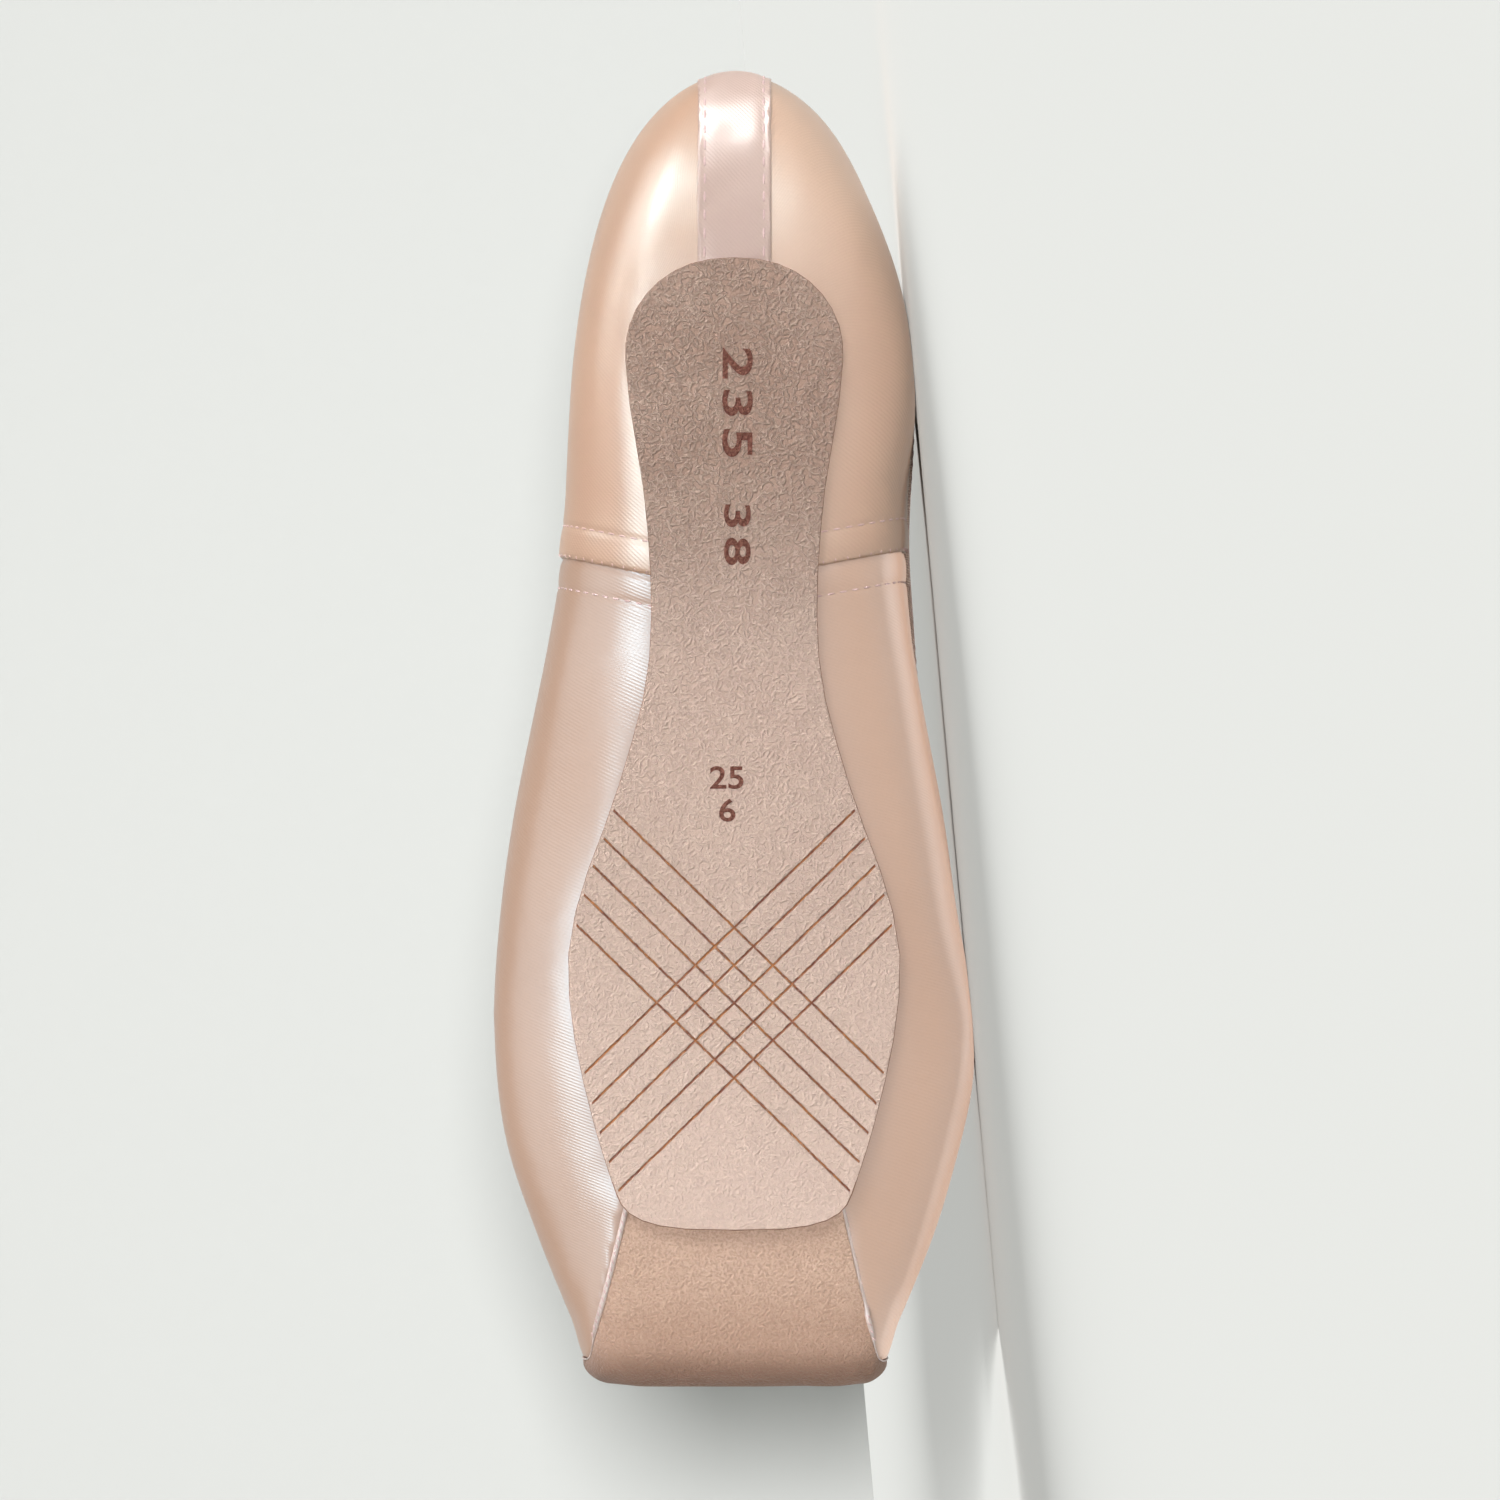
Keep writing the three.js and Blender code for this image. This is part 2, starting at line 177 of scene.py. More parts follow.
def subdivide_smoothly(piece, levels):
    apply(piece, "SUBSURF", levels=levels, render_levels=levels)


def give_wall(piece, thickness, side=-1):
    """A true wall: the surface stays, and the other side is `thickness` inside it."""
    apply(piece, "SOLIDIFY", thickness=thickness * MM, offset=side, use_even_offset=True)


def duplicate(piece, name):
    copy = bpy.data.objects.new(name, piece.data.copy())
    copy.data.name = name
    scene.collection.objects.link(copy)
    return copy


def copy_of(node, name):
    """A CAD node's mesh in the shoe's frame, merged and turned back to quads."""
    piece = duplicate(frame["nodes"][node], name)
    piece.data.materials.clear()
    piece.data.transform(LYING.inverted())
    only(piece)
    bpy.ops.mesh.customdata_custom_splitnormals_clear()
    edit(piece)
    bpy.ops.mesh.remove_doubles(threshold=0.01 * MM)
    bpy.ops.mesh.tris_convert_to_quads(
        face_threshold=math.radians(60), shape_threshold=math.radians(80)
    )
    done()
    return piece


def facing_out(piece):
    """Cosine between each face and the way out from the middle of the shoe."""
    centres = face_centres(piece)
    axis = np.zeros_like(centres)
    axis[:, 0] = np.clip(centres[:, 0], 30, 222)
    axis[:, 2] = 26
    arm = centres - axis
    arm /= np.linalg.norm(arm, axis=1)[:, None]
    return (arm * face_normals(piece)).sum(1)


def smoothstep(low, high, value):
    t = np.clip((value - low) / (high - low), 0, 1)
    return t * t * (3 - 2 * t)


def ridge(value, centre, width):
    return np.exp(-(((value - centre) / width) ** 2))


def surface_of(piece):
    """For rays and nearest points, in metres."""
    mesh = piece.data
    return BVHTree.FromPolygons([v.co for v in mesh.vertices], [p.vertices for p in mesh.polygons])


def along(points, pitch, start=0.5):
    """Evenly spaced places on a path of points in metres, with the direction of the path there."""
    points = np.array(points)
    steps = np.linalg.norm(np.diff(points, axis=0), axis=1)
    run = np.concatenate([[0], np.cumsum(steps)])
    at = np.arange(start * pitch * MM, run[-1], pitch * MM)
    place = np.array([np.interp(at, run, points[:, i]) for i in range(3)]).T
    ahead = np.array([np.interp(at + 0.2 * MM, run, points[:, i]) for i in range(3)]).T
    behind = np.array([np.interp(at - 0.2 * MM, run, points[:, i]) for i in range(3)]).T
    return list(zip(place, ahead - behind))


def stitches(name, rows, length, width, sink=0.0, turn=0.0):
    """Rows of short threads. Each row is a list of places and directions, dropped on a surface."""
    only(camera)
    bpy.ops.mesh.primitive_uv_sphere_add(segments=6, ring_count=5, radius=0.5 * MM)
    model = bpy.context.object
    model.name = name
    edit(model)
    bpy.ops.transform.resize(value=(length, width, width * 0.8))
    done()
    bpy.ops.object.shade_smooth()
    copies = [model]
    for surface, row in rows:
        for place, direction in row:
            ground, normal, _, _ = surface.find_nearest(Vector(place))
            ahead = Vector(direction) - normal * normal.dot(Vector(direction))
            ahead = Matrix.Rotation(math.radians(turn), 3, normal) @ ahead.normalized()
            turned = Matrix((ahead, normal.cross(ahead), normal)).transposed().to_4x4()
            turned.translation = ground - normal * sink * MM
            stitch = duplicate(model, name)
            stitch.data.transform(turned)
            copies.append(stitch)
    bpy.data.objects.remove(copies.pop(0))
    bpy.ops.object.select_all(action="DESELECT")
    for stitch in copies:
        stitch.select_set(True)
    bpy.context.view_layer.objects.active = copies[0]
    bpy.ops.object.join()
    copies[0].name = name
    return copies[0]


def chains(piece, edges):
    """The edges joined end to end, as lists of points in metres."""
    links = {}
    for a, b in edges:
        links.setdefault(a, []).append(b)
        links.setdefault(b, []).append(a)
    found = []
    while links:
        ends = [v for v in links if len(links[v]) == 1]
        here = ends[0] if ends else next(iter(links))
        chain = [here]
        while links.get(here):
            ahead = links[here].pop()
            links[ahead].remove(here)
            chain.append(ahead)
            here = ahead
        links = {v: others for v, others in links.items() if others}
        found.append([piece.data.vertices[v].co.copy() for v in chain])
    return found


def open_edges(piece):
    """Edges that only one face has."""
    used = {}
    for face in piece.data.polygons:
        for key in face.edge_keys:
            used[key] = used.get(key, 0) + 1
    return [key for key, count in used.items() if count == 1]


# ---- Shader maths
class Number:
    """A number that changes over a surface, with arithmetic."""

    def __init__(self, finish, socket):
        self.finish = finish
        self.socket = socket

    def __add__(self, other):
        return self.finish.maths("ADD", self, other)

    def __sub__(self, other):
        return self.finish.maths("SUBTRACT", self, other)

    def __rsub__(self, other):
        return self.finish.maths("SUBTRACT", other, self)

    def __mul__(self, other):
        return self.finish.maths("MULTIPLY", self, other)

    def __truediv__(self, other):
        return self.finish.maths("DIVIDE", self, other)

    def __pow__(self, power):
        return self.finish.maths("POWER", self, power)

    def __abs__(self):
        return self.finish.maths("ABSOLUTE", self)

    __radd__ = __add__
    __rmul__ = __mul__

    def sine(self):
        return self.finish.maths("SINE", self)

    def least(self, other):
        return self.finish.maths("MINIMUM", self, other)

    def most(self, other):
        return self.finish.maths("MAXIMUM", self, other)

    def between(self, low, high):
        """0 below `low`, 1 above `high`, smooth between them."""
        settings = {"interpolation_type": "SMOOTHSTEP"}
        sockets = {"Value": self, "From Min": low, "From Max": high}
        return self.finish.node("ShaderNodeMapRange", settings, sockets)


class Finish:
    """A material and what its nodes are made from."""

    def __init__(self, name, **shader_settings):
        self.material = bpy.data.materials.new(name)
        self.material.use_nodes = True
        self.tree = self.material.node_tree
        self.shader = self.tree.nodes["Principled BSDF"]
        for socket, value in shader_settings.items():
            self.shader.inputs[socket.replace("_", " ")].default_value = value

    def node(self, kind, settings, sockets, output=0):
        made = self.tree.nodes.new(kind)
        for name, value in settings.items():
            setattr(made, name, value)
        for name, value in sockets.items():
            self.feed(made.inputs[name], value)
        return Number(self, made.outputs[output])

    def feed(self, socket, value):
        if isinstance(value, Number):
            self.tree.links.new(value.socket, socket)
        else:
            socket.default_value = value

    def maths(self, operation, *values):
        sockets = dict(enumerate(values))
        return self.node("ShaderNodeMath", {"operation": operation}, sockets)

    def places(self):
        return self.node("ShaderNodeTexCoord", {}, {}, "Object")

    def distance(self, origin, direction):
        """Distance along a direction of the shoe's frame from a point in it, in millimetres."""
        way = LYING.to_3x3() @ Vector(direction)
        start = (LYING @ (Vector(origin) * MM)).dot(way)
        sockets = {0: self.places(), 1: way}
        measured = self.node("ShaderNodeVectorMath", {"operation": "DOT_PRODUCT"}, sockets, "Value")
        return (measured - start) / MM

    def noise(self, size, detail=2, roughness=0.5, distortion=0, stretch=None, **settings):
        """Noise with features of about `size` millimetres."""
        place = self.places()
        if stretch:
            place = self.node("ShaderNodeMapping", {}, {"Vector": place, "Scale": stretch})
        sockets = {"Vector": place, "Scale": 1 / (size * MM), "Detail": detail}
        sockets.update({"Roughness": roughness, "Distortion": distortion})
        return self.node("ShaderNodeTexNoise", settings, sockets, "Fac")

    def crinkle(self):
        """Short ridges that run every way, like crumpled paper, from 0 to 1."""
        settings = {"noise_type": "RIDGED_MULTIFRACTAL"}
        sockets = {"Vector": self.places(), "Scale": 1 / (1.05 * MM), "Detail": 3, "Roughness": 0.7}
        sockets.update({"Distortion": 0.25, "Offset": 1.0, "Gain": 1.2})
        ridges = self.node("ShaderNodeTexNoise", settings, sockets, "Fac")
        return ridges.between(0.6, 2.2)

    def weave(self):
        """The cloth's own two directions, in millimetres."""
        place = self.node("ShaderNodeUVMap", {"uv_map": "weave"}, {})
        parts = self.tree.nodes.new("ShaderNodeSeparateXYZ")
        self.feed(parts.inputs[0], place)
        return [Number(self, parts.outputs[i]) / MM for i in range(2)]

    def mix(self, share, first, second):
        sockets = {0: share, 6: first, 7: second}
        return self.node("ShaderNodeMix", {"data_type": "RGBA"}, sockets, 2)

    def relief(self, height, depth):
        """A bump `depth` millimetres deep."""
        sockets = {"Height": height, "Distance": depth * MM, "Strength": 1}
        self.feed(self.shader.inputs["Normal"], self.node("ShaderNodeBump", {}, sockets))

    def vary(self, socket, value):
        self.feed(self.shader.inputs[socket], value)


def shade(red, green, blue):
    """A colour given as it is seen, from 0 to 255."""
    seen = [value / 255 for value in (red, green, blue)]
    linear = [v / 12.92 if v <= 0.04045 else ((v + 0.055) / 1.055) ** 2.4 for v in seen]
    return (*linear, 1)


def satin(name, twill, deep=(194, 149, 120), light=(212, 167, 138), gloss=(0.62, 0.87, 1.0)):
    """Satin whose fine twill crosses the cloth at an angle in degrees."""
    finish = Finish(name, IOR=2.0, Specular_IOR_Level=1.0, Specular_Tint=(*gloss, 1))
    u, v = finish.weave()
    angle = math.radians(twill)
    turn = 2 * math.pi / 0.56
    ribs = ((u * math.cos(angle) + v * math.sin(angle)) * turn).sine()
    picks = ((u * -math.sin(angle) + v * math.cos(angle)) * (turn * 0.8)).sine()
    slubs = finish.noise(0.4)
    threads = ribs * 0.5 + ribs * picks * 0.2 + slubs
    finish.relief(threads + finish.noise(7, detail=1) * 9, 0.017)
    cloud = finish.noise(36, detail=1)
    # The ribs term is painted shade in the twill's valleys and painted light on its ridges; the cloud is
    # the cloth's own uneven tone.
    tone = cloud * 0.7 + ribs * 0.09 + (slubs - 0.5) * 0.3 + 0.1
    finish.vary("Base Color", finish.mix(tone, shade(*deep), shade(*light)))
    finish.vary("Roughness", cloud * 0.05 + 0.33)
    return finish.material


def ribbed_tape():
    finish = Finish("ribbed_tape", Sheen_Weight=0.2, Specular_IOR_Level=0.3)
    u, v = finish.weave()
    ribs = (u * (2 * math.pi / 0.62)).sine()
    knots = (v * (2 * math.pi / 0.5)).sine()
    finish.relief(ribs + ribs * knots * 0.3 + finish.noise(0.3) * 0.5, 0.09)
    finish.vary("Base Color", finish.mix(ribs * 0.5 + 0.5, shade(205, 168, 150), shade(238, 210, 194)))
    finish.vary("Roughness", finish.noise(2) * 0.1 + 0.6)
    return finish.material


def sole_leather(name, scored):
    finish = Finish(name, Specular_IOR_Level=0.25, Sheen_Weight=0.1)
    forward = finish.distance((0, 0, 0), (1, 0, 0))
    toward_toe = forward.between(70, 112) * 0.62 + forward.between(112, 215) * 0.38
    crinkle = finish.crinkle()
    nap = finish.noise(0.4, detail=3)
    rough = 1 - toward_toe * 0.65
    height = crinkle * rough + nap * 0.8
    # Darker from the toe back towards the heel: partly painted shade where the sole turns away through
    # the arch, partly the heel's own rougher leather.
    tone = finish.mix(toward_toe, shade(179, 150, 135), shade(223, 197, 184))
    patches = finish.noise(12, detail=3)
    tone = finish.mix((patches - 0.35) * 0.6, tone, shade(226, 202, 186))
    # Painted shade in the crinkles' hollows and a painted highlight on their ridges.
    tone = finish.mix((1 - crinkle) * rough * 0.3, tone, shade(136, 106, 92))
    tone = finish.mix(crinkle * 0.15, tone, shade(236, 214, 200))
    if scored:
        burn = None
        for side in (1, -1):
            angle = math.radians(SCORING["angle"])
            across = (math.sin(angle), side * math.cos(angle), 0)
            offset = finish.distance((SCORING["centre"], 0, 0), across)
            wander = (finish.noise(1.2) - 0.5) * 0.25
            for i in range(SCORING["lines"]):
                place = (i - (SCORING["lines"] - 1) / 2) * SCORING["spacing"]
                line = 1 - abs(offset - place + wander).between(0.1, SCORING["width"] * 0.75)
                burn = line if burn is None else burn.most(line)
        burn = burn * (finish.noise(0.6).between(0.2, 0.5) * 0.35 + 0.65)
        ember = finish.mix(finish.noise(3).between(0.35, 0.65), shade(188, 122, 74), shade(140, 84, 66))
        tone = finish.mix(burn, tone, ember)
        height = height - burn * 0.9
    finish.vary("Base Color", tone)
    finish.vary("Roughness", nap * 0.1 + 0.82)
    finish.relief(height, 0.42)
    return finish.material


# Painted shade: a dark brown for the outsole's cut edge, standing for the shade that falls on it.
def shaded_sole_edge():
    finish = Finish("shaded_sole_edge", Specular_IOR_Level=0.25)
    grain = finish.noise(0.8, detail=3)
    finish.vary("Base Color", finish.mix(grain, shade(118, 82, 66), shade(176, 138, 118)))
    finish.vary("Roughness", grain * 0.1 + 0.8)
    finish.relief(grain, 0.15)
    return finish.material


def tip_suede():
    finish = Finish("tip_suede", Specular_IOR_Level=0.2, Sheen_Weight=0.2, Sheen_Roughness=0.6)
    forward = finish.distance((0, 0, 0), (1, 0, 0))
    grain = finish.noise(0.5, detail=2, roughness=0.5)
    patches = finish.noise(7, detail=2)
    tone = finish.mix(patches.between(0.3, 0.7) * 0.4, shade(216, 184, 164), shade(206, 173, 152))
    # Painted shade in the grain's hollows: the tone darkens where the grain is low.
    tone = finish.mix((0.6 - grain).between(0, 0.24) * 0.4, tone, shade(170, 132, 110))
    # Painted shade: the suede darkens towards the platform's rim, where it turns away from the light.
    tone = finish.mix(forward.between(222, 238) * 0.6, tone, shade(172, 136, 116))
    tone = finish.mix(forward.between(236, 243) * 0.75, tone, shade(124, 90, 72))
    finish.vary("Base Color", tone)
    finish.vary("Roughness", grain * 0.1 + 0.85)
    finish.relief(grain, 0.6)
    return finish.material


def cotton():
    finish = Finish("cotton_lining", Specular_IOR_Level=0.2, Sheen_Weight=0.1)
    warp = (finish.distance((0, 0, 0), (1, 0, 0)) * (2 * math.pi / 0.9)).sine()
    weft = (finish.distance((0, 0, 0), (0, 0.6, 0.8)) * (2 * math.pi / 0.9)).sine()
    threads = warp * weft
    finish.relief(threads + finish.noise(0.5) * 0.8, 0.08)
    finish.vary("Base Color", finish.mix(threads * 0.3 + 0.5, shade(214, 199, 178), shade(236, 224, 206)))
    finish.vary("Roughness", finish.noise(3) * 0.1 + 0.8)
    return finish.material


def thread():
    finish = Finish("thread", Specular_IOR_Level=0.4, Sheen_Weight=0.2)
    twist = finish.noise(0.3)
    finish.vary("Base Color", finish.mix(twist, shade(196, 158, 158), shade(236, 212, 210)))
    finish.vary("Roughness", twist * 0.1 + 0.5)
    finish.relief(twist, 0.03)
    return finish.material


def burnt_mark():
    finish = Finish("burnt_mark", Specular_IOR_Level=0.2)
    grain = finish.noise(0.5, detail=3)
    tone = grain.between(0.4, 0.66) * 0.6 + finish.crinkle() * 0.4
    finish.vary("Base Color", finish.mix(tone, shade(104, 62, 54), shade(150, 102, 88)))
    finish.vary("Roughness", grain * 0.1 + 0.85)
    finish.relief(finish.crinkle() + grain * 0.8, 0.3)
    return finish.material


def paint(piece, *materials):
    piece.data.materials.clear()
    for material in materials:
        piece.data.materials.append(material)


SATIN_VAMP = satin("satin_vamp", 24)
SATIN_QUARTER = satin("satin_quarter", 45, gloss=(0.78, 0.97, 1.0))
# Painted highlight: the edging's base is lighter than the satin beside it, standing for the light its
# roll catches.
SATIN_EDGING = satin("satin_edging", 45, deep=(220, 190, 178), light=(238, 214, 204))
SATIN_TAPE = satin(
    "satin_tape", -45, deep=(184, 150, 136), light=(204, 172, 160), gloss=(1.0, 1.0, 1.0)
)
THREAD = thread()


# ---- Cloth directions
def map_weave(piece, place):
    """A UV map in metres from place(points, side), given in millimetres for each face's corners."""
    mesh = piece.data
    layer = mesh.uv_layers.new(name="weave")
    corners = np.zeros(len(mesh.loops), int)
    mesh.loops.foreach_get("vertex_index", corners)
    sizes = np.zeros(len(mesh.polygons), int)
    mesh.polygons.foreach_get("loop_total", sizes)
    side = np.repeat(np.where(face_centres(piece)[:, 1] >= 0, 1, -1), sizes)
    mapped = place(points_of(piece)[corners], side)
    layer.data.foreach_set("uv", (mapped * MM).ravel())


def upper_half_widths():
    """The half width of each side of the upper at stations along it."""
    points = points_of(skin)
    stations = np.arange(HEEL_CURVE - 3, LENGTH + 1, 3.0)
    widths = {}
    for side in (1, -1):
        near = [np.abs(points[:, 0] - x) < 3.5 for x in stations]
        widths[side] = np.array([(side * points[mask, 1]).max() for mask in near])
    return stations, widths


def round_the_upper(points, side):
    """u follows the foot and turns round the heel, v goes round the foot from its widest line."""
    x, y, z = points[:, 0], np.abs(points[:, 1]), points[:, 2]
    stations, widths = HALF_WIDTHS
    half = np.where(side > 0, np.interp(x, stations, widths[1]), np.interp(x, stations, widths[-1]))
    at_curve = np.interp(HEEL_CURVE, stations, widths[1])
    round_part = x < HEEL_CURVE
    back = (HEEL_CURVE - x) / HEEL_CURVE
    out = np.hypot(back, y / at_curve)
    turn = np.arctan2(y / at_curve, np.maximum(back, 1e-6))
    arc_turns = np.linspace(0, math.pi / 2, 91)
    arc = np.concatenate([[0], np.cumsum(np.hypot(
        np.diff(HEEL_CURVE * np.cos(arc_turns)), np.diff(at_curve * np.sin(arc_turns))))])
    round_u = HEEL_CURVE - (arc[-1] - np.interp(turn, arc_turns, arc))
    inset = np.where(round_part, (1 - out) * at_curve, half - y)
    u = np.where(round_part, round_u, x)
    height = z - WIDEST_LINE
    v = np.sign(height) * np.hypot(height, np.maximum(inset, 0))
    return np.stack([u, side * v], 1)


# ---- The satin, from the upper's outer skin
skin = copy_of("upper", "skin")
inside = duplicate(skin, "lining")
keep(skin, facing_out(skin) > 0.6)
subdivide_smoothly(skin, 2)
HALF_WIDTHS = upper_half_widths()
smooth_skin = surface_of(skin)
collar_rim = max(chains(skin, open_edges(skin)), key=len)  # the longer of its two openings


def from_seam(points):
    """Distance from the side's fold, towards the toe."""
    left, right = SEAMS[1], SEAMS[-1]
    y = points[:, 1]
    at = np.where(y >= 0, left["at"], right["at"])
    slope = np.where(y >= 0, left["slope"], right["slope"])
    return (points[:, 0] - at + slope * np.abs(y)) / np.sqrt(1 + slope**2)


def cut_beside_seams(piece, offset):
    """Cuts both sides at a distance from their folds."""
    for side, seam in SEAMS.items():
        across = (1, side * seam["slope"], 0)
        x = seam["at"] + offset * math.hypot(1, seam["slope"])
        cut(piece, (x, 0, 0), across, side * face_centres(piece)[:, 1] > 0)


refine(skin, np.abs(from_seam(face_centres(skin))) < 9, 3)

toe_suede = copy_of("toe_patch", "toe_suede")
patch_outer = duplicate(toe_suede, "patch_outer")
keep(patch_outer, facing_out(patch_outer) > 0.6)
subdivide_smoothly(patch_outer, 1)
tip_edge = max(chains(patch_outer, open_edges(patch_outer)), key=len)


def distance_to(path):
    tree = KDTree(len(path))
    for i, (place, _) in enumerate(path):
        tree.insert(Vector(place), i)
    tree.balance()
    return lambda points: np.array([tree.find(Vector(p) * MM)[2] for p in points]) / MM


# The satin rises to the height of the suede beside it, and runs flat beneath it.
EDGE_REACH = 8
EDGE_RISE = 0.8
patch_surface = surface_of(patch_outer)
edge_distance = distance_to(along(tip_edge, 0.8))
near_tip = points_of(skin)[:, 0] > SOLE_TOE - 12


def rise_to_the_suede(points):
    rise = np.zeros(len(points))
    normals = normals_of(skin)[near_tip]
    near = points[near_tip]
    gap = edge_distance(near)
    covered = [
        patch_surface.ray_cast(Vector(p) * MM, Vector(n), 3 * MM)[0] is not None
        for p, n in zip(near, normals)
    ]
    outside = EDGE_RISE * (1 - smoothstep(0, EDGE_REACH, gap))
    beneath = EDGE_RISE * (1 - smoothstep(0, 1.5, gap))
    rise[near_tip] = np.where(covered, beneath, outside)
    return rise


mould(skin, rise_to_the_suede)

# Soft troughs and swells of the cloth: place, reach along and round the foot, and depth
FOLDS = [
    {"x": 136, "y": -36, "z": 16, "along": 22, "round": 6, "depth": -0.5},
    {"x": 118, "y": -34, "z": 12, "along": 14, "round": 7, "depth": 0.35},
    {"x": 150, "y": -38, "z": 30, "along": 18, "round": 7, "depth": 0.4},
    {"x": 116, "y": 33, "z": 12, "along": 16, "round": 7, "depth": 0.3},
    {"x": 222, "y": 30, "z": 18, "along": 16, "round": 5, "depth": -0.5},
    {"x": 226, "y": -31, "z": 18, "along": 16, "round": 5, "depth": -0.4},
    {"x": 12, "y": -22, "z": 32, "along": 14, "round": 10, "depth": 0.3},
    {"x": 136, "y": 23, "z": 2, "along": 18, "round": 5, "depth": 0.8},
]


def soft_folds(points):
    push = np.zeros(len(points))
    for fold in FOLDS:
        along_it = (points[:, 0] - fold["x"]) / fold["along"]
        round_it = np.hypot(points[:, 1] - fold["y"], points[:, 2] - fold["z"]) / fold["round"]
        push += fold["depth"] * np.exp(-(along_it**2) - round_it**2)
    return push


mould(skin, soft_folds)


# ---- The pieces of satin
quarters = duplicate(skin, "quarters")
cut_beside_seams(quarters, 0)
keep(quarters, from_seam(face_centres(quarters)) < 0)
vamp = duplicate(skin, "vamp")
keep(vamp, from_seam(face_centres(vamp)) > -1.6)


def lap_of_the_quarter(points):
    """Lifted over the vamp, puffed between fold and stitches, rounded down at the fold."""
    s = from_seam(points)
    lifted = 0.55 * smoothstep(-12, -1, s)
    puffed = 0.08 * ridge(s, -3, 2)
    drawn_in = -0.2 * ridge(s, QUARTER_STITCH, 0.6)
    rounded = -0.5 * smoothstep(-0.9, 0, s) ** 2
    return lifted + puffed + drawn_in + rounded


def edge_of_the_vamp(points):
    s = from_seam(points)
    sunk = -0.3 * (1 - smoothstep(0, 1.4, s))
    puffed = 0.1 * ridge(s, 2.8, 1.8)
    drawn_in = -0.2 * ridge(s, VAMP_STITCH, 0.6)
    return sunk + puffed + drawn_in


mould(quarters, lap_of_the_quarter)
mould(vamp, edge_of_the_vamp)
cut(quarters, (0, 0, 0), (0, 1, 0))
quarter_left = duplicate(quarters, "quarter_left")
keep(quarter_left, face_centres(quarter_left)[:, 1] > 0)
quarter_right = duplicate(quarters, "quarter_right")
keep(quarter_right, face_centres(quarter_right)[:, 1] < 0)

# ---- The tape up the back of the heel
heel_tape = duplicate(quarters, "heel_tape")
for side in (1, -1):
    cut(heel_tape, (0, side * TAPE_HALF, 0), (0, 1, 0))
    cut(heel_tape, (0, side * TAPE_STITCH, 0), (0, 1, 0))
    cut(heel_tape, (0, side * (TAPE_STITCH - 0.5), 0), (0, 1, 0))
    cut(heel_tape, (0, side * (TAPE_STITCH + 0.5), 0), (0, 1, 0))
tape_faces = face_centres(heel_tape)
keep(heel_tape, (np.abs(tape_faces[:, 1]) < TAPE_HALF) & (tape_faces[:, 0] < SOLE_HEEL + 2))


def raised_tape(points):
    x, y, z = points.T
    round_heel = np.arctan2(40 - x, 38 - z)
    wavy = 0.18 * np.sin(round_heel * 9 + 0.8) + 0.07 * np.sin(round_heel * 23 + y * 0.4)
    drawn_in = -0.18 * ridge(np.abs(y), TAPE_STITCH, 0.8)
    return 0.45 + drawn_in + wavy * (1 - ridge(np.abs(y), TAPE_HALF, 1.5))


mould(heel_tape, raised_tape)

for piece in (vamp, quarter_left, quarter_right):
    map_weave(piece, round_the_upper)
map_weave(
    heel_tape,
    lambda points, side: np.stack(
        [points[:, 1], 33 * np.arctan2(40 - points[:, 0], 38 - points[:, 2])], 1
    ),
)
satin_surfaces = {piece.name: surface_of(piece) for piece in (vamp, quarters, heel_tape)}
for piece in (vamp, quarter_left, quarter_right, heel_tape):
    give_wall(piece, 0.4)
bpy.data.objects.remove(quarters)
paint(vamp, SATIN_VAMP)
paint(quarter_left, SATIN_QUARTER)
paint(quarter_right, SATIN_QUARTER)
paint(heel_tape, SATIN_TAPE)

# ---- Lining, from the upper's inner faces
keep(inside, facing_out(inside) < -0.6)
inside.name = "lining"
subdivide_smoothly(inside, 1)
give_wall(inside, 0.4)
LINING = cotton()
paint(inside, LINING)

# ---- Collar binding
collar_tape = copy_of("collar_binding", "collar_tape")
subdivide_smoothly(collar_tape, 2)
COLLAR_CENTRE = (85, 0)


def round_the_collar(points, side):
    x, y = points[:, 0] - COLLAR_CENTRE[0], points[:, 1] - COLLAR_CENTRE[1]
    turns = np.linspace(-math.pi, math.pi, 361)
    rim = points_of(collar_tape)
    angle = np.arctan2(rim[:, 1], (rim[:, 0] - COLLAR_CENTRE[0]) * 0.42)
    order = np.argsort(angle)
    ring_x = np.interp(turns, angle[order], rim[order, 0], period=2 * math.pi)
    ring_y = np.interp(turns, angle[order], rim[order, 1], period=2 * math.pi)
    run = np.concatenate([[0], np.cumsum(np.hypot(np.diff(ring_x), np.diff(ring_y)))])
    return np.stack([np.interp(np.arctan2(y, x * 0.42), turns, run), points[:, 2]], 1)


map_weave(collar_tape, round_the_collar)
paint(collar_tape, ribbed_tape())

# ---- Outsole and insole
outsole = copy_of("outsole", "outsole_leather")
underside = face_normals(outsole)[:, 2] < -0.7
edit(outsole, underside)
bpy.ops.mesh.inset(thickness=0.6 * MM, use_boundary=True)
done()
scored = np.zeros(len(outsole.data.polygons), bool)
outsole.data.polygons.foreach_get("select", scored)
paint(outsole, sole_leather("sole_leather", False), sole_leather("scored_leather", True), shaded_sole_edge())
outsole.data.polygons.foreach_set("material_index", scored.astype(int))
apply(outsole, "BEVEL", width=0.45 * MM, segments=3, limit_method="ANGLE", angle_limit=math.radians(40))
surfaces = np.zeros(len(outsole.data.polygons), int)
outsole.data.polygons.foreach_get("material_index", surfaces)
